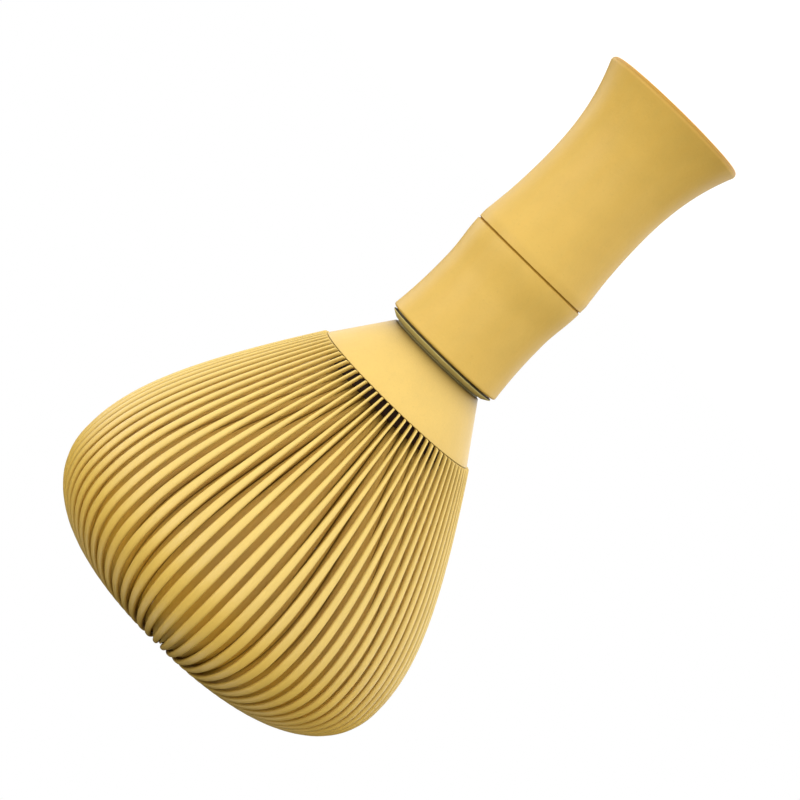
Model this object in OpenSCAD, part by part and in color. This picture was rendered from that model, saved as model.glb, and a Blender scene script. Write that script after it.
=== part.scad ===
// Moulded tea whisk whose head pulls off its handle for washing.
// It stands on the flat end of the handle. The origin is the centre of that face, +Z points to the tines.
// Outlines are given as [radius, height] and turned about Z.

/* [Handle] */
// Radius at the waist of the grip
grip_waist_r = 10.66; // [10.4:0.02:11]
// Height of the waist of the grip
grip_waist_z = 19.6; // [18:0.1:21]
// Radius that the flared end gains over the waist
flare_rise = 3.85; // [3:0.05:4.5]
// How sharply the end flares
flare_power = 2.35; // [2:0.05:3]
// Height of the parting line between the grip and the sleeve
parting_z = 34.5; // [34:0.1:35]
// Radius at the parting line
parting_r = 11.6; // [11.4:0.05:12]
// Radius at the waist of the sleeve
sleeve_waist_r = 10.95; // [10.8:0.05:11.2]
// Height of the waist of the sleeve
sleeve_waist_z = 44.4; // [43:0.1:46]
// Radius of the lip at the sleeve's mouth
lip_r = 11.56; // [11.3:0.02:11.8]
// Height of the sleeve's mouth
mouth_z = 54.75; // [54:0.05:55]

/* [Collar] */
// Height of the collar above the sleeve's mouth
collar_lift = 1.7; // [1.5:0.1:2]
// Radius of the collar at its neck
neck_r = 9.65; // [9.4:0.05:9.9]
// Radius of the collar at its edge
collar_edge_r = 16.1; // [15.9:0.05:16.3]
// Height of the collar's edge
collar_edge_z = 66; // [65.8:0.1:66.2]

/* [Outer tines] */
// Number of outer tines
outer_count = 80; // [64:8:80]
// Largest radius of the outer tines
outer_belly_r = 34.15; // [33:0.05:35]
// Height of the largest radius
outer_belly_z = 105.2; // [104:0.1:107]
// Height of the turned-in ends
outer_top_z = 120.5; // [119:0.1:122]
// Radius where the tines are at their highest
outer_curl_r = 11.9; // [11:0.1:14]
// Thickness of a tine at its root
outer_root_t = 0.8; // [0.7:0.05:1.1]
// Thickness of a tine at its tip
outer_tip_t = 0.7; // [0.5:0.05:0.9]

/* [Inner tines] */
// Number of inner tines
inner_count = 80; // [64:8:80]
// Largest radius of the inner tines
inner_belly_r = 31.4; // [30:0.1:31.6]
// Height of the largest radius
inner_belly_z = 103.5; // [102:0.1:104]
// Height of the ends, which lie between those of the outer tines
inner_top_z = 120.2; // [118:0.1:120.2]
// Radius where the tines are at their highest
inner_curl_r = 12; // [11.5:0.1:14]

/* [Core] */
// Radius of the stem that plugs into the handle
stem_r = 5; // [4.9:0.05:5]
// Radial play between the stem and its socket
stem_play = 0.1; // [0.05:0.01:0.1]
// Height of the stem's lower end
stem_foot_z = 27; // [26:0.1:29]

/* [Hidden] */
$fn = 96;
segments = 8;
segment_angle = 360 / segments;
cut = 1;
slab = 1.5;

// Colours
grip_colour = [0.90, 0.75, 0.42];
collar_colour = [0.96, 0.84, 0.53];
tine_colour = [0.93, 0.79, 0.42];
inner_colour = [0.62, 0.46, 0.25];
seal_colour = [0.60, 0.55, 0.32];
rubber_colour = [0.10, 0.07, 0.05];
core_colour = [0.42, 0.30, 0.17];

// Handle
corner_r = 0.8;
corner_end_angle = 24;
swell_gain = 1.25;
grip_bore_r = 9.2;
cap_r = 11.55;
cap_t = 2.2;
cap_play = 0.05;
cap_spigot_wall = 0.9;
cap_spigot_z = 6;
break_w = 0.22;
break_d = 0.35;
spigot_play = 0.05;
spigot_z = parting_z - 10;
sleeve_flat = 1.6;
lip_round = 0.4;
pocket_r = 9.3;
pocket_z = 37.5;
socket_r = stem_r + stem_play;
socket_wall = 1.9;
socket_top_z = mouth_z - 4.25;
socket_lead = 0.5;

// Joint between handle and head
fit = 0.02;
seat_gap = 0.03;
seal_z = mouth_z + seat_gap;
neck_z = mouth_z + collar_lift;
seal_foot_inset = 1.3;
seal_brim_inset = 0.46;
seal_foot_h = 0.35;
seal_brim_h = 0.15;
seal_top_overhang = 0.3;
seal_waist_inset = 0.5;
seal_groove_h = 0.48;

// Collar and the feet of the tines
collar_neck_round = 0.3;
collar_edge_round = 0.12;
collar_edge_angle = 34;
collar_rim_w = 0.35;
collar_floor_t = 1.95;
floor_z = neck_z + collar_floor_t;
cone_foot_r = 9;
cone_rim_r = collar_edge_r - collar_rim_w;
cone_slope = (cone_rim_r - cone_foot_r) / (collar_edge_z - floor_z);
foot_t = 1.8;
foot_wall = 1.65;
outer_floor_z = floor_z + foot_t;
hub_top_z = collar_edge_z;

// Spacer ring
spacer_in_r = 12.2;
spacer_out_r = 14.85;
spacer_foot_z = collar_edge_z - 1.4;
spacer_lip_z = collar_edge_z + 2 * fit;
spacer_top_z = collar_edge_z + 2.3;
spacer_break = 0.2;

// Stem, nut and rings
flange_r = 10.5;
flange_t = 1.2;
flange_break = 0.3;
stem_break = 0.5;
stem_bore_r = 3;
stem_bore_top_z = 62;
nut_r = 7.8;
nut_t = 3.45;
o_ring_t = 1.12;
o_ring_squeeze = 0.07;
o_ring_r = stem_r + o_ring_squeeze - o_ring_t / 2;
groove_w = 1.3;
groove_r = o_ring_r - o_ring_t / 2 - fit;
lower_ring_z = stem_foot_z + 3.5;
upper_ring_z = stem_foot_z + 19;

// Outlines of the tines
crown_power = 2 / 2.2;
flank_steps = 10;
crown_steps = 10;
root_embed = 0.6;
shoulder_z = collar_edge_z + fit;
outer_knee = 15;
outer_slope = 0.733;
outer_tip_angle = 96;
outer_heel = 0.15;
outer_toe = 0.8;
outer_root_in = cone_rim_r - 0.5;
outer_embed_run = 0.9;
inner_foot_r = spacer_in_r - 0.05;
inner_foot_knee = 2;
inner_root_r = inner_foot_r - 0.05;
inner_root_z = spacer_top_z;
inner_knee = 13;
inner_slope = sqrt(pow(inner_belly_r - inner_root_r + inner_knee, 2) - pow(inner_knee, 2))
              / (inner_belly_z - inner_root_z);
inner_tip_angle = 88;
inner_root_t = 1.2;
inner_tip_t = 0.6;

// Widths of the tines: a share of the pitch, less towards the root.
// At the crown the inner ones are narrow enough to lie between the outer ones.
outer_fill = 0.6;
outer_root_w = 0.42;
outer_taper = 0.0175;
inner_fill = 0.97;
inner_root_w = 0.8;
inner_taper = 0.0235;
inner_wide_z = 117.6;
inner_crown_fill = 0.36;
inner_crown_step = 7;
reach = 40;
top_z = 125;

// Radius of the grip at height z: flared below the waist, swelling to the parting line above it
function grip_r(z) = z < grip_waist_z
    ? grip_waist_r + flare_rise * pow((grip_waist_z - z) / grip_waist_z, flare_power)
    : min(parting_r, grip_waist_r + swell_gain * (parting_r - grip_waist_r)
          * pow((z - grip_waist_z) / (parting_z - grip_waist_z), 2));

// Share from 0 to 1 that rises and ends softly
function soft(x) = (1 - cos(180 * min(1, max(0, x)))) / 2;

// Radius of the sleeve at height z
function sleeve_r(z) = z < sleeve_waist_z
    ? sleeve_waist_r + (parting_r - sleeve_waist_r)
      * soft((sleeve_waist_z - sleeve_flat - z) / (sleeve_waist_z - sleeve_flat - parting_z))
    : sleeve_waist_r + (lip_r - sleeve_waist_r)
      * pow((z - sleeve_waist_z) / (mouth_z - lip_round - sleeve_waist_z), 2);

// Points on an arc, from angle a to angle b in n steps
function arc(centre, r, a, b, n) =
    [for (i = [0:n]) centre + r * [cos(a + (b - a) * i / n), sin(a + (b - a) * i / n)]];

// Outer face of a tine from its root to its belly: a hyperbola that straightens towards the root
function flank(belly_r, belly_z, knee, slope, root_z) =
    [for (i = [0:flank_steps])
        let (z = root_z + (belly_z - root_z) * i / flank_steps)
        [belly_r + knee - sqrt(knee * knee + pow(slope * (belly_z - z), 2)), z]];

// Outer face of a tine from its belly over the crown to its tip
function crown(belly_r, belly_z, curl_r, top_z, tip_angle) =
    [for (i = [1:crown_steps])
        let (a = tip_angle * i / crown_steps)
        [curl_r + (belly_r - curl_r) * sign(cos(a)) * pow(abs(cos(a)), crown_power),
         belly_z + (top_z - belly_z) * pow(sin(a), crown_power)]];

// Unit vector that points out of the path at point i
function outward(path, i) =
    let (a = path[max(0, i - 1)], b = path[min(len(path) - 1, i + 1)], d = b - a)
    [d.y, -d.x] / norm(d);

// Outline of a tine: the path and, one thickness inside it, the way back
function tine_outline(path, root_t, tip_t) =
    let (n = len(path) - 1)
    concat(path, [for (i = [n:-1:0]) path[i] - outward(path, i) * (root_t + (tip_t - root_t) * i / n)]);

// Radius inside the wall of the outer tines' foot at height z
function foot_inside_r(z) = cone_foot_r - foot_wall + cone_slope * (z - floor_z);

// Half widths of a tine that widens from its root up to height z, as a list of [half width, height]
function root_widths(root_w, taper, z) =
    [for (h = [collar_edge_z - cut, z]) [root_w / 2 + taper * (h - collar_edge_z), h]];

outer_path = concat(
    flank(outer_belly_r, outer_belly_z, outer_knee, outer_slope, shoulder_z),
    crown(outer_belly_r, outer_belly_z, outer_curl_r, outer_top_z, outer_tip_angle));
inner_path = concat(
    [[inner_root_r, hub_top_z]],
    flank(inner_belly_r, inner_belly_z, inner_knee, inner_slope, inner_root_z),
    crown(inner_belly_r, inner_belly_z, inner_curl_r, inner_top_z, inner_tip_angle));

module revolve(points) {
    rotate_extrude() polygon(points);
}

// Upper part of the handle, hollow, flared where it stands
module grip_shell() {
    flare_z = corner_r * (1 + sin(corner_end_angle));
    corner = [grip_r(flare_z) - corner_r * cos(corner_end_angle), corner_r];
    top_z = parting_z - break_w;
    steps = 24;
    color(grip_colour) difference() {
        revolve(concat(
            [[0, 0]],
            arc(corner, corner_r, -90, corner_end_angle, 6),
            [for (i = [1:steps]) let (z = flare_z + (top_z - flare_z) * i / steps) [grip_r(z), z]],
            [[parting_r - break_d, parting_z], [0, parting_z]]));
        translate([0, 0, -cut]) cylinder(r = cap_r + cap_play, h = cap_t + cut);
        translate([0, 0, -cut]) cylinder(r = grip_bore_r, h = parting_z + 2 * cut);
    }
}

// Disc that closes the flared end
module end_cap() {
    spigot_r = grip_bore_r - cap_play;
    color(grip_colour) difference() {
        union() {
            cylinder(r = cap_r, h = cap_t);
            cylinder(r = spigot_r, h = cap_spigot_z);
        }
        translate([0, 0, cap_t]) cylinder(r = spigot_r - cap_spigot_wall, h = cap_spigot_z);
    }
}

// Lower part of the handle: a skin around the socket for the stem, with a spigot glued into the grip
module lower_sleeve() {
    low_z = parting_z + break_w;
    lip = [lip_r - lip_round, mouth_z - lip_round];
    steps = 20;
    color(grip_colour) difference() {
        union() {
            revolve(concat(
                [[0, parting_z], [parting_r - break_d, parting_z]],
                [for (i = [0:steps]) let (z = low_z + (lip.y - low_z) * i / steps) [sleeve_r(z), z]],
                arc(lip, lip_round, 15, 90, 5),
                [[0, mouth_z]]));
            translate([0, 0, spigot_z]) cylinder(r = grip_bore_r - spigot_play, h = parting_z - spigot_z);
        }
        translate([0, 0, spigot_z - cut]) cylinder(r = socket_r, h = mouth_z);
        translate([0, 0, socket_top_z]) cylinder(r = pocket_r, h = mouth_z);
        translate([0, 0, socket_top_z - socket_lead])
            cylinder(r1 = socket_r, r2 = socket_r + 2 * socket_lead, h = 2 * socket_lead);
        difference() {
            translate([0, 0, pocket_z]) cylinder(r = pocket_r, h = mouth_z);
            translate([0, 0, pocket_z - cut]) cylinder(r = socket_r + socket_wall, h = mouth_z);
        }
    }
}

// Soft tapered ring between the handle and the collar
module seal_ring() {
    foot_r = lip_r - seal_foot_inset;
    foot_top_z = seal_z + seal_foot_h;
    brim_r = lip_r - seal_brim_inset;
    waist_r = neck_r - seal_waist_inset;
    groove_z = neck_z - seal_groove_h;
    color(seal_colour) revolve([
        [stem_r + fit, seal_z],
        [foot_r, seal_z],
        [foot_r, foot_top_z],
        [brim_r, foot_top_z],
        [brim_r, foot_top_z + seal_brim_h],
        [neck_r + seal_top_overhang, groove_z],
        [waist_r, groove_z],
        [waist_r, neck_z],
        [stem_r + fit, neck_z]]);
}

// Conical cover over the feet of the tines
module collar() {
    neck = [neck_r - collar_neck_round, neck_z + collar_neck_round];
    edge = [collar_edge_r - collar_edge_round, collar_edge_z - collar_edge_round];
    color(collar_colour) difference() {
        revolve(concat(
            [[0, neck_z]],
            arc(neck, collar_neck_round, -90, -collar_edge_angle, 4),
            arc(edge, collar_edge_round, -collar_edge_angle, 90, 4),
            [[cone_rim_r, collar_edge_z], [cone_foot_r, floor_z], [0, floor_z]]));
        translate([0, 0, neck_z - cut]) cylinder(r = stem_r + fit, h = floor_z - neck_z + 2 * cut);
    }
}

// Dark ring wedged between the roots of the outer and the inner tines
module spacer_ring() {
    color(rubber_colour) revolve([
        [spacer_in_r, spacer_foot_z],
        [foot_inside_r(spacer_foot_z) - fit, spacer_foot_z],
        [foot_inside_r(spacer_lip_z) - fit, spacer_lip_z],
        [spacer_out_r, spacer_lip_z],
        [spacer_out_r, spacer_top_z - spacer_break],
        [spacer_out_r - spacer_break, spacer_top_z],
        [spacer_in_r, spacer_top_z]]);
}

// Hollow stem with a flange that clamps the feet of the tines, and grooves for two sealing rings
module core_stem() {
    flange_top_z = hub_top_z + flange_t;
    color(core_colour) difference() {
        revolve([
            [0, stem_foot_z],
            [stem_r - stem_break, stem_foot_z],
            [stem_r, stem_foot_z + stem_break],
            [stem_r, hub_top_z],
            [flange_r, hub_top_z],
            [flange_r, flange_top_z - flange_break],
            [flange_r - flange_break, flange_top_z],
            [0, flange_top_z]]);
        translate([0, 0, stem_foot_z - cut])
            cylinder(r = stem_bore_r, h = stem_bore_top_z - stem_foot_z + cut);
        for (z = [lower_ring_z, upper_ring_z]) {
            translate([0, 0, z - groove_w / 2]) difference() {
                cylinder(r = stem_r + cut, h = groove_w);
                translate([0, 0, -cut]) cylinder(r = groove_r, h = groove_w + 2 * cut);
            }
        }
    }
}

// Nut that clamps the head together against the flange of the stem
module lock_nut() {
    color(core_colour) translate([0, 0, seal_z - nut_t]) difference() {
        cylinder(r = nut_r, h = nut_t, $fn = 6);
        translate([0, 0, -cut]) cylinder(r = stem_r + fit, h = nut_t + 2 * cut);
    }
}

module o_ring(z) {
    color(rubber_colour) translate([0, 0, z]) rotate_extrude()
        translate([o_ring_r, 0]) circle(d = o_ring_t, $fn = 24);
}

// One tine: the outline, as wide as its share of the pitch and as its widths allow.
// The widths are a list of [half width, height] from the root to above the crown.
module tine(outline, widths, pitch, fill) {
    half = pitch * fill / 2;
    mirrored = [for (i = [len(widths) - 1:-1:0]) [-widths[i].x, widths[i].y]];
    intersection() {
        rotate([90, 0, 0]) translate([0, 0, -slab]) linear_extrude(2 * slab) polygon(outline);
        linear_extrude(top_z) polygon([[0, 0], [reach, -reach * tan(half)], [reach, reach * tan(half)]]);
        rotate([90, 0, 90]) linear_extrude(reach) polygon(concat(widths, mirrored));
    }
}

// One eighth of the outer tines with the foot they share
module outer_tines(i) {
    pitch = 360 / outer_count;
    base = collar_edge_z - root_embed;
    outline = concat(
        [[cone_rim_r - outer_toe, base], [cone_rim_r - outer_heel, shoulder_z]],
        tine_outline(outer_path, outer_root_t, outer_tip_t),
        [[outer_root_in, shoulder_z], [outer_root_in - outer_embed_run, base]]);
    widths = root_widths(outer_root_w, outer_taper, top_z);
    color(tine_colour) rotate([0, 0, i * segment_angle]) {
        rotate_extrude(angle = segment_angle) polygon([
            [stem_r + fit, floor_z],
            [cone_foot_r - fit, floor_z],
            [cone_rim_r - fit, collar_edge_z],
            [foot_inside_r(collar_edge_z), collar_edge_z],
            [foot_inside_r(outer_floor_z), outer_floor_z],
            [stem_r + fit, outer_floor_z]]);
        for (k = [0.5:outer_count / segments]) {
            rotate([0, 0, k * pitch]) tine(outline, widths, pitch, outer_fill);
        }
    }
}

// One eighth of the inner tines with the foot they share, half a pitch round so that each faces a gap
module inner_tines(i) {
    pitch = 360 / inner_count;
    base = hub_top_z - root_embed;
    knee_z = hub_top_z - inner_foot_knee;
    outline = concat(
        [[inner_root_r, base]],
        tine_outline(inner_path, inner_root_t, inner_tip_t),
        [[inner_root_r - inner_root_t, base]]);
    crown_half = [for (k = [inner_crown_step:crown_steps])
        let (p = inner_path[1 + flank_steps + k])
        [p.x * tan(pitch * inner_crown_fill / 2), p.y]];
    widths = concat(
        root_widths(inner_root_w, inner_taper, inner_wide_z),
        crown_half,
        [[crown_half[len(crown_half) - 1].x, top_z]]);
    color(inner_colour) rotate([0, 0, i * segment_angle + pitch / 2]) {
        rotate_extrude(angle = segment_angle) polygon([
            [stem_r + fit, outer_floor_z],
            [foot_inside_r(outer_floor_z) - fit, outer_floor_z],
            [inner_foot_r, knee_z],
            [inner_foot_r, hub_top_z],
            [stem_r + fit, hub_top_z]]);
        for (k = [0.5:inner_count / segments]) {
            rotate([0, 0, k * pitch]) tine(outline, widths, pitch, inner_fill);
        }
    }
}

grip_shell();
end_cap();
lower_sleeve();
seal_ring();
collar();
spacer_ring();
core_stem();
lock_nut();
o_ring(upper_ring_z);  // o_ring_upper
o_ring(lower_ring_z);  // o_ring_lower
for (i = [0:segments - 1]) {
    outer_tines(i);
    inner_tines(i);
}
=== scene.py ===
"""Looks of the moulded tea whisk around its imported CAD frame. Outlines are in millimetres, objects in metres."""

import math
import random

import bpy
from mathutils import Matrix, Vector


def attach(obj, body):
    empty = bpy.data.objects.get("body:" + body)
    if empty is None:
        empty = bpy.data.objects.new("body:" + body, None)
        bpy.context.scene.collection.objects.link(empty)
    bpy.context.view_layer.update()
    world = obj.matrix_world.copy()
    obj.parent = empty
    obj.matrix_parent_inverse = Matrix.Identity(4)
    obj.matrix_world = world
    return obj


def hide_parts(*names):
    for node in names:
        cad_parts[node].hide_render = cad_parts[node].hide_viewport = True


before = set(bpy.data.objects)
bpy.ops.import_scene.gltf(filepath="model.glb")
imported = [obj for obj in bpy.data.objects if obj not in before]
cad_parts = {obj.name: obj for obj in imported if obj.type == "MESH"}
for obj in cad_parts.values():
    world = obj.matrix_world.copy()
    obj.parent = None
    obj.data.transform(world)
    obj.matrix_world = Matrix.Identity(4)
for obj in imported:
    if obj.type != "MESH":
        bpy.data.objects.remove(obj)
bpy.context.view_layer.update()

MM = 0.001
SEED = 7

# ---------------------------------------------------------------------------
# The outlines of the CAD source, in millimetres, with finer steps
# ---------------------------------------------------------------------------

GRIP_WAIST_R, GRIP_WAIST_Z = 10.66, 19.6
FLARE_RISE, FLARE_POWER = 3.85, 2.35
# The grip's swell overshoots by this much, so it meets the parting radius early and stays level from there
GRIP_SWELL = 1.25
PARTING_R, PARTING_Z = 11.6, 34.5
SLEEVE_WAIST_R, SLEEVE_WAIST_Z, SLEEVE_FLAT = 10.95, 44.4, 1.6
LIP_R, LIP_ROUND, MOUTH_Z = 11.56, 0.4, 54.75
CORNER_R, CORNER_END = 0.8, 24
BREAK_W, BREAK_D = 0.22, 0.35
GRIP_BORE_R, CAP_SEAT_R, CAP_T = 9.2, 11.6, 2.2
SPIGOT_R, SPIGOT_Z = 9.15, 24.5
SOCKET_R, SOCKET_TUBE_R, SOCKET_TOP_Z, SOCKET_LEAD = 5.1, 7.0, 50.5, 0.5
POCKET_R, POCKET_Z = 9.3, 37.5

STEM_R = 5.02
SEAL_Z, NECK_Z, NECK_R = 54.78, 56.45, 9.65
SEAL_FOOT_INSET, SEAL_FOOT_H = 1.3, 0.35
SEAL_BRIM_INSET, SEAL_BRIM_T = 0.46, 0.15
SEAL_WAIST_INSET, SEAL_GROOVE_H, SEAL_SHOULDER = 0.5, 0.48, 0.3
SEAL_EDGE_R, SPACER_EDGE_R = 0.07, 0.2
EDGE_R, EDGE_Z = 16.1, 66.0
FLOOR_Z, CONE_FOOT_R, CONE_RIM_R = 58.4, 9.0, 15.75
OUTER_FLOOR_Z, FOOT_WALL = 60.2, 1.65
# Play between a foot and what it sits in, and between the inner foot and the spacer ring
PLAY, RING_PLAY = 0.02, 0.05
CONE_SLOPE = (CONE_RIM_R - CONE_FOOT_R) / (EDGE_Z - FLOOR_Z)
SPACER_IN_R, SPACER_OUT_R, SPACER_FOOT_Z, SPACER_TOP_Z = 12.2, 14.85, 64.6, 68.3

OUTER = {
    "count": 80,
    "belly_r": 34.15,
    "belly_z": 105.2,
    "top_z": 120.47,
    "curl_r": 11.9,
    "root_z": 66.02,
    "base_z": 66.0,
    "knee": 15.0,
    "slope": 0.733,
    "tip_angle": 96,
    "root_t": 0.8,
    "tip_t": 0.7,
    "root_w": 0.42,
    "taper": 0.0175,
    "fill": 0.6,
    "sway": 0.07,
}
INNER_ROOT_R = 12.1
INNER_KNEE, INNER_BELLY_R, INNER_BELLY_Z = 13.0, 31.4, 103.5
INNER = {
    "count": 80,
    "belly_r": INNER_BELLY_R,
    "belly_z": INNER_BELLY_Z,
    "top_z": 120.2,
    "curl_r": 12.0,
    "root_z": SPACER_TOP_Z,
    "base_z": 66.0,
    "knee": INNER_KNEE,
    "slope": math.sqrt((INNER_BELLY_R - INNER_ROOT_R + INNER_KNEE) ** 2 - INNER_KNEE**2)
    / (INNER_BELLY_Z - SPACER_TOP_Z),
    "tip_angle": 88,
    "root_t": 1.2,
    "tip_t": 0.6,
    "root_w": 0.8,
    "taper": 0.0235,
    "fill": 0.97,
    "crown_fill": 0.36,
    "sway": 0.012,
}
INNER_WIDE_Z, INNER_CROWN_Z = 117.6, 118.35
CROWN_POWER = 2 / 2.2
FLANK_STEPS, CROWN_STEPS = 26, 30
SEGMENTS = 8
FOOT_STEPS = 20
# The cross-section of a tine: how far its domed outer face reaches across and inward, and its inner corners' radius
DOME_ACROSS, DOME_DEEP, TINE_CORNER_R = 0.8, 0.55, 0.25
# No two tines are quite alike: the most that one is set in from the belly on, and the spread of its sideways bow
TINE_LIFT, TINE_BOW = 0.06, (0.8, 1.4)
# The rings that round a tip: how far each lies past the last station, and its size
TIP_RINGS = ((0.0, 1.0), (0.22, 0.86), (0.33, 0.45))


def grip_r(z):
    """Radius of the grip at the height z: a waist that flares to the standing face."""
    if z < GRIP_WAIST_Z:
        return GRIP_WAIST_R + FLARE_RISE * ((GRIP_WAIST_Z - z) / GRIP_WAIST_Z) ** FLARE_POWER
    swell = GRIP_SWELL * (PARTING_R - GRIP_WAIST_R) * ((z - GRIP_WAIST_Z) / (PARTING_Z - GRIP_WAIST_Z)) ** 2
    return min(PARTING_R, GRIP_WAIST_R + swell)


def soft(x):
    """Eases 0 to 1 with level ends."""
    return (1 - math.cos(math.pi * min(1, max(0, x)))) / 2


def sleeve_r(z):
    """Radius of the lower half of the handle at the height z."""
    if z < SLEEVE_WAIST_Z:
        share = (SLEEVE_WAIST_Z - SLEEVE_FLAT - z) / (SLEEVE_WAIST_Z - SLEEVE_FLAT - PARTING_Z)
        return SLEEVE_WAIST_R + (PARTING_R - SLEEVE_WAIST_R) * soft(share)
    share = (z - SLEEVE_WAIST_Z) / (MOUTH_Z - LIP_ROUND - SLEEVE_WAIST_Z)
    return SLEEVE_WAIST_R + (LIP_R - SLEEVE_WAIST_R) * share**2


def arc(cx, cz, r, a, b, n):
    """Points of an arc about (cx, cz) from a to b degrees, in n steps."""
    turns = [math.radians(a + (b - a) * i / n) for i in range(n + 1)]
    return [(cx + r * math.cos(turn), cz + r * math.sin(turn)) for turn in turns]


def tine_path(t):
    """Outer face of a tine in (radius, height), from its root over the belly to its tip."""
    flank = []
    for i in range(FLANK_STEPS + 1):
        z = t["root_z"] + (t["belly_z"] - t["root_z"]) * i / FLANK_STEPS
        r = t["belly_r"] + t["knee"] - math.hypot(t["knee"], t["slope"] * (t["belly_z"] - z))
        flank.append((r, z))
    crown = []
    for i in range(1, CROWN_STEPS + 1):
        a = math.radians(t["tip_angle"] * i / CROWN_STEPS)
        c = math.cos(a)
        r = t["curl_r"] + (t["belly_r"] - t["curl_r"]) * math.copysign(abs(c) ** CROWN_POWER, c)
        crown.append((r, t["belly_z"] + (t["top_z"] - t["belly_z"]) * math.sin(a) ** CROWN_POWER))
    return flank + crown


# ---------------------------------------------------------------------------
# Meshes
# ---------------------------------------------------------------------------


def new_piece(name, verts, faces, uvs=None, sharp_deg=32):
    """A smooth-shaded mesh object from points in millimetres. uvs gives one pair for each vertex."""
    mesh = bpy.data.meshes.new(name)
    mesh.from_pydata([(x * MM, y * MM, z * MM) for x, y, z in verts], [], faces)
    mesh.validate()
    mesh.update()
    if uvs is not None:
        layer = mesh.uv_layers.new(name="grain")
        for loop in mesh.loops:
            layer.data[loop.index].uv = uvs[loop.vertex_index]
    mesh.shade_smooth()
    mesh.set_sharp_from_angle(angle=math.radians(sharp_deg))
    obj = bpy.data.objects.new(name, mesh)
    bpy.context.scene.collection.objects.link(obj)
    return obj


def eased(profile, radius, steps=3):
    """The closed (radius, height) profile with each corner sharper than 40 degrees rounded by up to radius."""
    out = []
    n = len(profile)
    for i in range(n):
        p, q, s = (Vector(profile[j % n]) for j in (i - 1, i, i + 1))
        a, b = p - q, s - q
        turn = math.pi - a.angle(b)
        if turn < math.radians(40):
            out.append(tuple(q))
            continue
        cut = min(radius, 0.4 * a.length, 0.4 * b.length)
        start, end = q + a.normalized() * cut, q + b.normalized() * cut
        for k in range(steps + 1):
            u = k / steps
            out.append(tuple(start * (1 - u) ** 2 + q * 2 * u * (1 - u) + end * u**2))
    return out


def lathe(name, profile, segments=192):
    """A closed profile in (radius, height) turned about Z."""
    n = len(profile)
    verts, faces = [], []
    for k in range(segments):
        a = 2 * math.pi * k / segments
        verts += [(r * math.cos(a), r * math.sin(a), z) for r, z in profile]
        here, there = k * n, ((k + 1) % segments) * n
        faces += [(here + i, there + i, there + (i + 1) % n, here + (i + 1) % n) for i in range(n)]
    return new_piece(name, verts, faces)


def section(half_out, half_in, thick, radius):
    """Cross-section of a tine as (across, inward) pairs: a domed outer face and rounded inner corners."""
    r_in = min(radius, 0.45 * thick, 0.8 * half_in)
    across, deep = DOME_ACROSS * half_out, min(DOME_DEEP * thick, thick - r_in)
    points = []
    for k in range(6):
        a = math.radians(90 - 18 * k)
        points.append((half_out - across + across * math.cos(a), deep - deep * math.sin(a)))
    for k in range(4):
        a = math.radians(-30 * k)
        points.append((half_in - r_in + r_in * math.cos(a), thick - r_in - r_in * math.sin(a)))
    mirrored = [(-x, y) for x, y in reversed(points)]
    return points + mirrored


def half_width(t, p):
    """Half the width that a tine may have at p, a (radius, height) pair, on the outer or the inner face."""
    pitch = math.radians(360 / t["count"])
    root = t["root_w"] / 2 + t["taper"] * (p.y - t["base_z"])
    half = min(root, p.x * math.tan(pitch * t["fill"] / 2))
    if t is INNER and p.y > INNER_WIDE_Z:
        wide = p.x * math.tan(pitch * t["fill"] / 2)
        crown = p.x * math.tan(pitch * t["crown_fill"] / 2)
        share = min(1.0, (p.y - INNER_WIDE_Z) / (INNER_CROWN_Z - INNER_WIDE_Z))
        half = min(half, wide + (crown - wide) * share)
    return half


def tine_mesh(t, path, lead, angle, rng, verts, faces, uvs):
    """One tine round the axis at the angle: lead gives (outer, inner) pairs below its root, path its outer face."""
    n = len(path) - 1
    stations = [(Vector(a), Vector(b)) for a, b in lead]
    for i, p in enumerate(path):
        a, b = Vector(path[max(0, i - 1)]), Vector(path[min(n, i + 1)])
        d = (b - a).normalized()
        out = Vector((d.y, -d.x))
        q = Vector(p)
        thick = t["root_t"] + (t["tip_t"] - t["root_t"]) * i / n
        stations.append((q, q - out * thick))
    sway = rng.uniform(-t["sway"], t["sway"])
    lift = rng.uniform(-TINE_LIFT, 0.0)
    bow = rng.uniform(*TINE_BOW)
    ca, sa = math.cos(angle), math.sin(angle)
    length = 0.0
    last = None
    base = len(verts)
    grain_row = rng.uniform(0, 50)

    def add(q, w, x, y, scale):
        """A point of the cross-section at x across and y inward of it, pulled to the middle by scale."""
        inward = w - q
        middle = q + inward * 0.5
        p = middle + (q + inward * y - middle) * scale
        share = min(1.0, max(0.0, (p.y - t["root_z"]) / (t["belly_z"] - t["root_z"])))
        side = sway * math.sin(math.pi * 0.5 * bow * share)
        radial = p.x + lift * share
        across = x * scale + side
        verts.append((radial * ca - across * sa, radial * sa + across * ca, p.y))
        uvs.append((length * 0.1, grain_row + x * 0.5 + y * 0.4))

    for i, (q, w) in enumerate(stations):
        if last is not None:
            length += (q - last).length
        last = q
        thick = (w - q).length
        outline = section(half_width(t, q), half_width(t, w), thick, TINE_CORNER_R)
        if i == len(stations) - 1:
            d = (stations[-1][0] - stations[-2][0]).normalized()
            for reach, scale in TIP_RINGS:
                for x, y in outline:
                    add(q + d * reach, w + d * reach, x, y / thick, scale)
            continue
        for x, y in outline:
            add(q, w, x, y / thick, 1.0)
    ring = len(outline)
    rows = (len(verts) - base) // ring
    for k in range(rows - 1):
        here, there = base + k * ring, base + (k + 1) * ring
        for j in range(ring):
            faces.append((here + j, here + (j + 1) % ring, there + (j + 1) % ring, there + j))
    faces.append(tuple(base + j for j in reversed(range(ring))))
    faces.append(tuple(base + (rows - 1) * ring + j for j in range(ring)))


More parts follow.
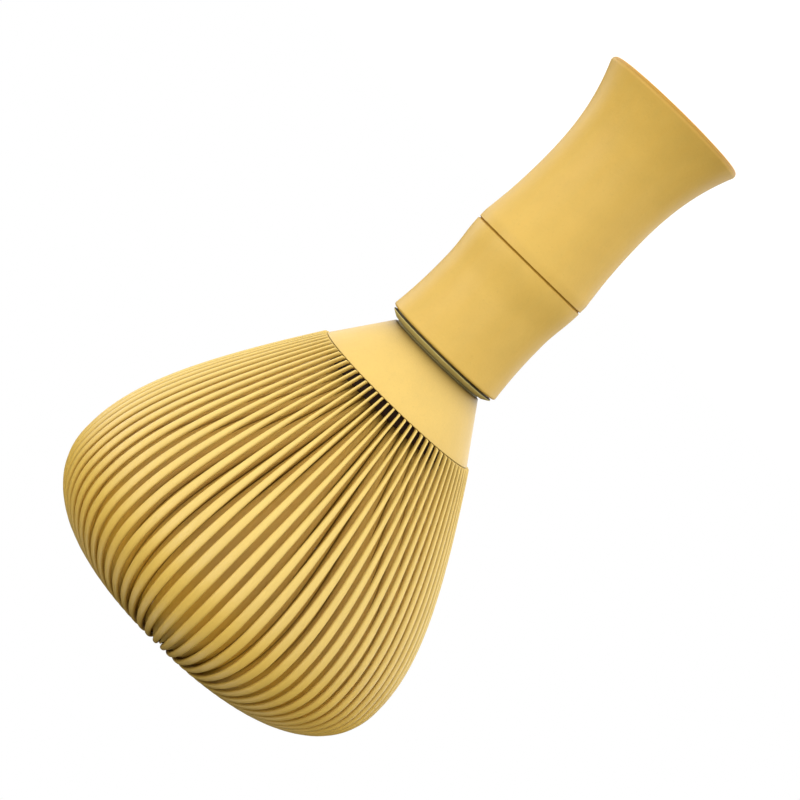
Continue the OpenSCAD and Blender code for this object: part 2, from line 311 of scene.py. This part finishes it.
def tine_segment(name, t, lead, foot, index, turn_pitches):
    """One eighth of a set of tines with the foot they share."""
    rng = random.Random(SEED * 1000 + index + (500 if t is INNER else 0))
    pitch = 2 * math.pi / t["count"]
    per = t["count"] // SEGMENTS
    start = index * 2 * math.pi / SEGMENTS + turn_pitches * pitch
    verts, faces, uvs = [], [], []
    path = tine_path(t)
    for k in range(per):
        tine_mesh(t, path, lead, start + (k + 0.5) * pitch, rng, verts, faces, uvs)
    base = len(verts)
    n = len(foot)
    for k in range(FOOT_STEPS + 1):
        a = start + 2 * math.pi / SEGMENTS * k / FOOT_STEPS
        verts += [(r * math.cos(a), r * math.sin(a), z) for r, z in foot]
        uvs += [(k * 0.1, r * 0.1 + z * 0.1) for r, z in foot]
    for k in range(FOOT_STEPS):
        here, there = base + k * n, base + (k + 1) * n
        faces += [(here + i, there + i, there + (i + 1) % n, here + (i + 1) % n) for i in range(n)]
    faces.append(tuple(base + i for i in range(n)))
    faces.append(tuple(base + FOOT_STEPS * n + i for i in reversed(range(n))))
    return new_piece(name, verts, faces, uvs, sharp_deg=50)


# ---------------------------------------------------------------------------
# Materials
# ---------------------------------------------------------------------------


class Shader:
    """A node tree built line by line: each call adds one node and returns it."""

    def __init__(self, name):
        self.material = bpy.data.materials.new(name)
        self.material.use_nodes = True
        self.tree = self.material.node_tree
        self.tree.nodes.clear()
        self.out = self.tree.nodes.new("ShaderNodeOutputMaterial")
        self.bsdf = self.tree.nodes.new("ShaderNodeBsdfPrincipled")
        self.tree.links.new(self.bsdf.outputs["BSDF"], self.out.inputs["Surface"])

    def link(self, a, b):
        self.tree.links.new(a, b)

    def node(self, kind, **values):
        n = self.tree.nodes.new(kind)
        for key, value in values.items():
            if hasattr(n, key) and key not in n.inputs:
                setattr(n, key, value)
            else:
                n.inputs[key].default_value = value
        return n

    def coords(self, scale):
        """Object coordinates in metres, stretched by scale."""
        c = self.node("ShaderNodeTexCoord")
        m = self.node("ShaderNodeMapping")
        m.inputs["Scale"].default_value = scale
        self.link(c.outputs["Object"], m.inputs["Vector"])
        return m.outputs["Vector"]

    def grain_coords(self, scale):
        c = self.node("ShaderNodeUVMap", uv_map="grain")
        m = self.node("ShaderNodeMapping")
        m.inputs["Scale"].default_value = scale
        self.link(c.outputs["UV"], m.inputs["Vector"])
        return m.outputs["Vector"]

    def noise(self, vector, scale, detail=3.0, roughness=0.55, distortion=0.0):
        n = self.node("ShaderNodeTexNoise", Scale=scale, Detail=detail, Roughness=roughness, Distortion=distortion)
        self.link(vector, n.inputs["Vector"])
        return n.outputs["Fac"]

    def spread(self, value, lo, hi, out_lo=0.0, out_hi=1.0):
        n = self.node("ShaderNodeMapRange")
        self.link(value, n.inputs["Value"])
        for key, v in (("From Min", lo), ("From Max", hi), ("To Min", out_lo), ("To Max", out_hi)):
            n.inputs[key].default_value = v
        return n.outputs["Result"]

    def mix(self, fac, a, b, blend="MIX"):
        """Mixes two colours: each is an output or a plain colour."""
        n = self.node("ShaderNodeMix", data_type="RGBA", blend_type=blend)
        for socket, value in ((n.inputs[0], fac), (n.inputs[6], a), (n.inputs[7], b)):
            if isinstance(value, bpy.types.NodeSocket):
                self.link(value, socket)
            elif isinstance(value, (int, float)):
                socket.default_value = value
            else:
                socket.default_value = (*value, 1.0)
        return n.outputs[2]

    def maths(self, operation, a, b):
        n = self.node("ShaderNodeMath", operation=operation)
        for socket, value in ((n.inputs[0], a), (n.inputs[1], b)):
            if isinstance(value, bpy.types.NodeSocket):
                self.link(value, socket)
            else:
                socket.default_value = value
        return n.outputs[0]

    def painted_shade(self, colour, reach, tint, closed=0.2, free=0.95):
        """Painted shade: the colour, times the tint where other surfaces close it in within reach metres."""
        n = self.node("ShaderNodeAmbientOcclusion", samples=8, Distance=reach)
        shade = self.mix(self.spread(n.outputs["AO"], closed, free), tint, (1.0, 1.0, 1.0))
        return self.mix(1.0, colour, shade, "MULTIPLY")

    def bump(self, height, distance, strength, normal=None):
        n = self.node("ShaderNodeBump", Strength=strength, Distance=distance)
        self.link(height, n.inputs["Height"])
        if normal is not None:
            self.link(normal, n.inputs["Normal"])
        return n.outputs["Normal"]

    def base(self, colour):
        self.link(colour, self.bsdf.inputs["Base Color"])

    def rough(self, value):
        self.link(value, self.bsdf.inputs["Roughness"])

    def normal(self, value):
        self.link(value, self.bsdf.inputs["Normal"])


def scaled(colour, k):
    """The colour, k times as bright."""
    return tuple(min(1.0, c * k) for c in colour)


def resin(name, colour, warm, rough_lo, rough_hi, along="z", specular=0.45, painted_shade=None, crown=None):
    """Satin moulded resin: cloudy colour, faint flow lines, fine orange peel and patchy gloss, with painted shade in
    its hollows when a shade reach is given.

    crown gives a factor for each channel of the colour, and the heights where it begins and is complete.
    """
    s = Shader(name)
    plain = s.coords((1, 1, 1))
    clouds = s.spread(s.noise(plain, 170, 4, 0.6), 0.3, 0.7)
    flow_vec = s.grain_coords((2.0, 90.0, 1.0)) if along == "grain" else s.coords((1, 1, 0.06))
    flow = s.spread(s.noise(flow_vec, 1.0 if along == "grain" else 900, 3, 0.6), 0.32, 0.68)
    fleck = s.spread(s.noise(plain, 2600, 2, 0.5), 0.62, 0.74)
    tone = s.mix(clouds, scaled(colour, 0.955), scaled(colour, 1.035))
    tone = s.mix(s.maths("MULTIPLY", flow, 0.30), tone, warm)
    tone = s.mix(s.maths("MULTIPLY", fleck, 0.16), tone, scaled(colour, 0.72))
    if crown:
        factors, low, high = crown
        axes = s.node("ShaderNodeSeparateXYZ")
        s.link(plain, axes.inputs["Vector"])
        shift = s.mix(s.spread(axes.outputs["Z"], low, high), (1.0, 1.0, 1.0), factors)
        tone = s.mix(1.0, tone, shift, "MULTIPLY")
    # Painted shade: the colour darkens where other surfaces close it in
    s.base(s.painted_shade(tone, *painted_shade) if painted_shade else tone)
    smudge = s.spread(s.noise(plain, 60, 4, 0.62, 0.6), 0.35, 0.7)
    fine = s.spread(s.noise(plain, 1400, 3, 0.6), 0.3, 0.7)
    gloss = s.maths("ADD", s.maths("MULTIPLY", smudge, 0.7), s.maths("MULTIPLY", fine, 0.3))
    s.rough(s.spread(gloss, 0.1, 0.9, rough_lo, rough_hi))
    peel = s.bump(s.noise(plain, 1900, 2, 0.5), 0.00004, 0.35)
    lines = s.bump(flow, 0.00003, 0.35, peel)
    s.normal(s.bump(s.noise(plain, 90, 2, 0.4), 0.00012, 0.30, lines))
    s.bsdf.inputs["IOR"].default_value = 1.5
    s.bsdf.inputs["Specular IOR Level"].default_value = specular
    s.bsdf.inputs["Subsurface Weight"].default_value = 0.0
    return s.material


def rubber(name, colour, pale, rough, painted_shade=None):
    """Matt rubber: dusty tone, fine grain, with painted shade in its hollows when a shade reach is given."""
    s = Shader(name)
    plain = s.coords((1, 1, 1))
    dust = s.spread(s.noise(plain, 420, 5, 0.65), 0.35, 0.75)
    tone = s.mix(s.maths("MULTIPLY", dust, 0.5), colour, pale)
    # Painted shade: the colour darkens where other surfaces close it in
    s.base(s.painted_shade(tone, *painted_shade) if painted_shade else tone)
    s.rough(s.spread(s.noise(plain, 900, 3, 0.6), 0.3, 0.7, rough - 0.07, rough + 0.08))
    s.normal(s.bump(s.noise(plain, 3200, 3, 0.6), 0.00004, 0.4))
    s.bsdf.inputs["Specular IOR Level"].default_value = 0.2
    return s.material


HONEY = (0.80, 0.52, 0.110)
HONEY_WARM = (0.82, 0.50, 0.092)
CREAM = (0.81, 0.555, 0.145)
CREAM_WARM = (0.85, 0.57, 0.140)
TINE = (0.86, 0.62, 0.165)
TINE_WARM = (0.88, 0.60, 0.135)
BROWN = (0.60, 0.37, 0.065)
BROWN_WARM = (0.58, 0.34, 0.050)
CORE = (0.22, 0.125, 0.045)
CORE_WARM = (0.24, 0.12, 0.035)
OLIVE = (0.64, 0.55, 0.20)
OLIVE_PALE = (0.70, 0.61, 0.26)
SOOT = (0.024, 0.008, 0.001)
SOOT_PALE = (0.045, 0.018, 0.004)

TINE_CROWN = ((1.0, 0.91, 0.68), 0.090, 0.112)
# Painted light: the inner tines grow lighter towards the crown, where the gaps between the outer tines are shallow
INNER_CROWN_PAINTED_LIGHT = ((1.6, 1.7, 1.0), 0.100, 0.117)
# Painted shade for each material: its reach in metres, the tint of the painted shade at its darkest and the openness
# at which the tint begins and ends
GRIP_PAINTED_SHADE = (0.0015, (0.58, 0.50, 0.33), 0.55, 0.98)
# The collar's long reach paints a soft shadow on its neck under the sleeve's lip
COLLAR_PAINTED_SHADE = (0.012, (0.30, 0.28, 0.25), 0.5, 1.0)
TINE_PAINTED_SHADE = (0.0022, (0.40, 0.34, 0.18), 0.25, 0.95)
INNER_PAINTED_SHADE = (0.0016, (0.50, 0.45, 0.30))
SEAL_PAINTED_SHADE = (0.0010, (0.12, 0.09, 0.05), 0.30, 0.9)

grip_mat = resin("grip_resin_look", HONEY, HONEY_WARM, 0.38, 0.50, specular=0.30, painted_shade=GRIP_PAINTED_SHADE)
collar_mat = resin("collar_resin_look", CREAM, CREAM_WARM, 0.34, 0.46, painted_shade=COLLAR_PAINTED_SHADE)
tine_mat = resin("tine_resin_look", TINE, TINE_WARM, 0.30, 0.42, "grain", 0.55, TINE_PAINTED_SHADE, TINE_CROWN)
inner_mat = resin("inner_resin_look", BROWN, BROWN_WARM, 0.5, 0.65, "grain", 0.45, INNER_PAINTED_SHADE, INNER_CROWN_PAINTED_LIGHT)
core_mat = resin("core_resin_look", CORE, CORE_WARM, 0.42, 0.56)
seal_mat = rubber("seal_rubber_look", OLIVE, OLIVE_PALE, 0.52, SEAL_PAINTED_SHADE)
dark_mat = rubber("dark_rubber_look", SOOT, SOOT_PALE, 0.6)

# ---------------------------------------------------------------------------
# Pieces
# ---------------------------------------------------------------------------


def dress(obj, material, body, node):
    """Gives a piece its material, parents it to the empty of the body it rides on and hides the CAD node it stands
    for.
    """
    obj.data.materials.clear()
    obj.data.materials.append(material)
    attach(obj, body)
    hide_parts(node)
    return obj


def make_grip():
    flare_z = CORNER_R * (1 + math.sin(math.radians(CORNER_END)))
    cx = grip_r(flare_z) - CORNER_R * math.cos(math.radians(CORNER_END))
    top = PARTING_Z - BREAK_W
    steps = 70
    outside = arc(cx, CORNER_R, CORNER_R, -90, CORNER_END, 12)
    for i in range(1, steps + 1):
        z = flare_z + (top - flare_z) * i / steps
        outside.append((grip_r(z), z))
    profile = [(CAP_SEAT_R, 0.0)] + outside
    profile += [(PARTING_R - BREAK_D, PARTING_Z), (GRIP_BORE_R, PARTING_Z), (GRIP_BORE_R, CAP_T), (CAP_SEAT_R, CAP_T)]
    return lathe("grip_shell_look", profile)


def make_sleeve():
    low = PARTING_Z + BREAK_W
    lip_z = MOUTH_Z - LIP_ROUND
    steps = 56
    profile = [(SPIGOT_R, SPIGOT_Z), (SPIGOT_R, PARTING_Z), (PARTING_R - BREAK_D, PARTING_Z)]
    for i in range(steps + 1):
        z = low + (lip_z - low) * i / steps
        profile.append((sleeve_r(z), z))
    profile += arc(LIP_R - LIP_ROUND, lip_z, LIP_ROUND, 12, 90, 8)
    profile += [(POCKET_R, MOUTH_Z), (POCKET_R, POCKET_Z), (SOCKET_TUBE_R, POCKET_Z), (SOCKET_TUBE_R, SOCKET_TOP_Z)]
    profile += [(SOCKET_R + SOCKET_LEAD, SOCKET_TOP_Z), (SOCKET_R, SOCKET_TOP_Z - SOCKET_LEAD), (SOCKET_R, SPIGOT_Z)]
    return lathe("lower_sleeve_look", profile)


def make_seal():
    foot, brim, waist = LIP_R - SEAL_FOOT_INSET, LIP_R - SEAL_BRIM_INSET, NECK_R - SEAL_WAIST_INSET
    foot_top, groove = SEAL_Z + SEAL_FOOT_H, NECK_Z - SEAL_GROOVE_H
    profile = [
        (STEM_R, SEAL_Z),
        (foot, SEAL_Z),
        (foot, foot_top),
        (brim, foot_top),
        (brim, foot_top + SEAL_BRIM_T),
        (NECK_R + SEAL_SHOULDER, groove),
        (waist, groove),
        (waist, NECK_Z),
        (STEM_R, NECK_Z),
    ]
    return lathe("seal_ring_look", eased(profile, SEAL_EDGE_R))


def make_collar():
    neck_round, edge_round = 0.3, 0.12
    profile = arc(NECK_R - neck_round, NECK_Z + neck_round, neck_round, -90, -34, 5)
    profile += arc(EDGE_R - edge_round, EDGE_Z - edge_round, edge_round, -34, 90, 6)
    profile += [(CONE_RIM_R, EDGE_Z), (CONE_FOOT_R, FLOOR_Z), (STEM_R, FLOOR_Z), (STEM_R, NECK_Z)]
    return lathe("collar_look", profile)


def make_spacer():
    lip_z = EDGE_Z + 2 * PLAY
    back = CONE_FOOT_R - FOOT_WALL - PLAY
    profile = [
        (SPACER_IN_R, SPACER_FOOT_Z),
        (back + CONE_SLOPE * (SPACER_FOOT_Z - FLOOR_Z), SPACER_FOOT_Z),
        (back + CONE_SLOPE * (lip_z - FLOOR_Z), lip_z),
        (SPACER_OUT_R, lip_z),
        (SPACER_OUT_R, SPACER_TOP_Z),
        (SPACER_IN_R, SPACER_TOP_Z),
    ]
    return lathe("spacer_ring_look", eased(profile, SPACER_EDGE_R))


dress(make_grip(), grip_mat, "handle", "grip_shell")
dress(make_sleeve(), grip_mat, "handle", "lower_sleeve")
dress(make_seal(), seal_mat, "head", "seal_ring")
dress(make_collar(), collar_mat, "head", "collar")
dress(make_spacer(), dark_mat, "head", "spacer_ring")

OUTER_ROOT_IN = CONE_RIM_R - 0.5
# A root starts inside its foot: the outer ones lean out to just under the collar's edge
BURIED_Z = 65.4
OUTER_LEAD = [
    ((CONE_RIM_R - 0.8, BURIED_Z), (OUTER_ROOT_IN - 0.9, BURIED_Z)),
    ((CONE_RIM_R - 0.15, EDGE_Z - PLAY), (OUTER_ROOT_IN, EDGE_Z - PLAY)),
]
INNER_LEAD = [((INNER_ROOT_R, BURIED_Z), (INNER_ROOT_R - INNER["root_t"], BURIED_Z))]
OUTER_FOOT = [
    (STEM_R, FLOOR_Z),
    (CONE_FOOT_R - PLAY, FLOOR_Z),
    (CONE_RIM_R - PLAY, EDGE_Z),
    (CONE_RIM_R - FOOT_WALL, EDGE_Z),
    (CONE_FOOT_R - FOOT_WALL + CONE_SLOPE * (OUTER_FLOOR_Z - FLOOR_Z), OUTER_FLOOR_Z),
    (STEM_R, OUTER_FLOOR_Z),
]
INNER_FOOT_H = 2.2
INNER_FOOT = [
    (STEM_R, OUTER_FLOOR_Z),
    (CONE_FOOT_R - FOOT_WALL + CONE_SLOPE * (OUTER_FLOOR_Z - FLOOR_Z) - PLAY, OUTER_FLOOR_Z),
    (SPACER_IN_R - RING_PLAY, EDGE_Z - INNER_FOOT_H),
    (SPACER_IN_R - RING_PLAY, EDGE_Z),
    (STEM_R, EDGE_Z),
]
for i in range(SEGMENTS):
    outer = tine_segment("outer_tines_%d_look" % (i + 1), OUTER, OUTER_LEAD, OUTER_FOOT, i, 0.0)
    dress(outer, tine_mat, "head", "outer_tines_%d" % (i + 1))
    inner = tine_segment("inner_tines_%d_look" % (i + 1), INNER, INNER_LEAD, INNER_FOOT, i, 0.5)
    dress(inner, inner_mat, "head", "inner_tines_%d" % (i + 1))

for node, material in (
    ("end_cap", grip_mat),
    ("core_stem", core_mat),
    ("lock_nut", core_mat),
    ("o_ring_upper", dark_mat),
    ("o_ring_lower", dark_mat),
):
    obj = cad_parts[node]
    obj.data.materials.clear()
    obj.data.materials.append(material)

# ---------------------------------------------------------------------------
# Floor, light and camera, in metres and watts
# ---------------------------------------------------------------------------

FLOOR_HALF = 6.0
FLOOR_GLOW = 1.10
AMBIENT = 0.02
CENTRE = (0.0, 0.0, 0.06)


def make_floor():
    """A white floor that glows faintly, because most of the photo's light comes from below the handle."""
    mesh = bpy.data.meshes.new("floor")
    h = FLOOR_HALF
    mesh.from_pydata([(-h, -h, 0), (h, -h, 0), (h, h, 0), (-h, h, 0)], [], [(0, 1, 2, 3)])
    obj = bpy.data.objects.new("floor", mesh)
    bpy.context.scene.collection.objects.link(obj)
    s = Shader("floor_white")
    tone = s.spread(s.noise(s.coords((1, 1, 1)), 6, 3), 0.3, 0.7)
    s.base(s.mix(tone, (0.80, 0.80, 0.80), (0.84, 0.84, 0.84)))
    s.bsdf.inputs["Roughness"].default_value = 0.9
    s.bsdf.inputs["Specular IOR Level"].default_value = 0.1
    s.bsdf.inputs["Emission Color"].default_value = (1.0, 1.0, 1.0, 1.0)
    s.bsdf.inputs["Emission Strength"].default_value = FLOOR_GLOW
    mesh.materials.append(s.material)


def area_light(name, place, size, watts):
    """A white rectangular softbox aimed at the middle of the object. The camera doesn't see it."""
    data = bpy.data.lights.new(name, "AREA")
    data.shape = "RECTANGLE"
    data.size, data.size_y = size
    data.energy = watts
    obj = bpy.data.objects.new(name, data)
    bpy.context.scene.collection.objects.link(obj)
    obj.location = place
    direction = Vector(CENTRE) - Vector(place)
    obj.rotation_euler = direction.to_track_quat("-Z", "Y").to_euler()
    obj.visible_camera = False


make_floor()
area_light("key_softbox", (0.80, -0.55, 0.09), (0.8, 0.16), 2.42)
area_light("front_softbox", (0.0, -1.0, 0.09), (0.8, 0.16), 1.35)
area_light("left_softbox", (-0.9, -0.45, 0.12), (0.6, 0.2), 0.45)
area_light("rim_softbox", (0.8, 0.6, 0.12), (0.6, 0.2), 1.05)
area_light("back_softbox", (-0.5, 0.8, 0.16), (0.8, 0.3), 0.7)
area_light("top_softbox", (0.0, 0.0, 1.0), (0.8, 0.8), 1.8)

world = bpy.data.worlds.new("studio")
bpy.context.scene.world = world
world.use_nodes = True
wt = world.node_tree
wt.nodes.clear()
out = wt.nodes.new("ShaderNodeOutputWorld")
mix = wt.nodes.new("ShaderNodeMixShader")
path_info = wt.nodes.new("ShaderNodeLightPath")
seen = wt.nodes.new("ShaderNodeBackground")
seen.inputs["Color"].default_value = (1.0, 1.0, 1.0, 1.0)
seen.inputs["Strength"].default_value = 1.0
lit = wt.nodes.new("ShaderNodeBackground")
lit.inputs["Color"].default_value = (1.0, 1.0, 1.0, 1.0)
lit.inputs["Strength"].default_value = AMBIENT
wt.links.new(path_info.outputs["Is Camera Ray"], mix.inputs["Fac"])
wt.links.new(lit.outputs["Background"], mix.inputs[1])
wt.links.new(seen.outputs["Background"], mix.inputs[2])
wt.links.new(mix.outputs["Shader"], out.inputs["Surface"])

SENSOR_MM, LENS_MM = 36.0, 117.36
ROLL = math.radians(135.65)
AIM = Vector((0.0, 0.0, 0.0661))
CAMERA_AT = Vector((0.0, -0.4333, 0.0311))
# Tangents of the small angles by which the picture's middle lies right of and above the aim
OFF_AXIS = (0.0012845, 0.0002531)

cam_data = bpy.data.cameras.new("photo_camera")
cam = bpy.data.objects.new("photo_camera", cam_data)
bpy.context.scene.collection.objects.link(cam)
cam_data.sensor_width = SENSOR_MM
cam_data.lens = LENS_MM
cam_data.clip_start, cam_data.clip_end = 0.01, 50.0
forward = (AIM - CAMERA_AT).normalized()
side = Vector((1.0, 0.0, 0.0))
up = side.cross(forward)
right = math.cos(ROLL) * side - math.sin(ROLL) * up
top = math.sin(ROLL) * side + math.cos(ROLL) * up
forward = (forward + right * OFF_AXIS[0] + top * OFF_AXIS[1]).normalized()
right = (right - forward * right.dot(forward)).normalized()
top = right.cross(forward)
cam.rotation_mode = "QUATERNION"
cam.rotation_quaternion = Matrix((right, top, -forward)).transposed().to_quaternion()
cam.location = CAMERA_AT
bpy.context.scene.camera = cam

bpy.context.scene.view_settings.view_transform = "Standard"
bpy.context.scene.view_settings.look = "None"
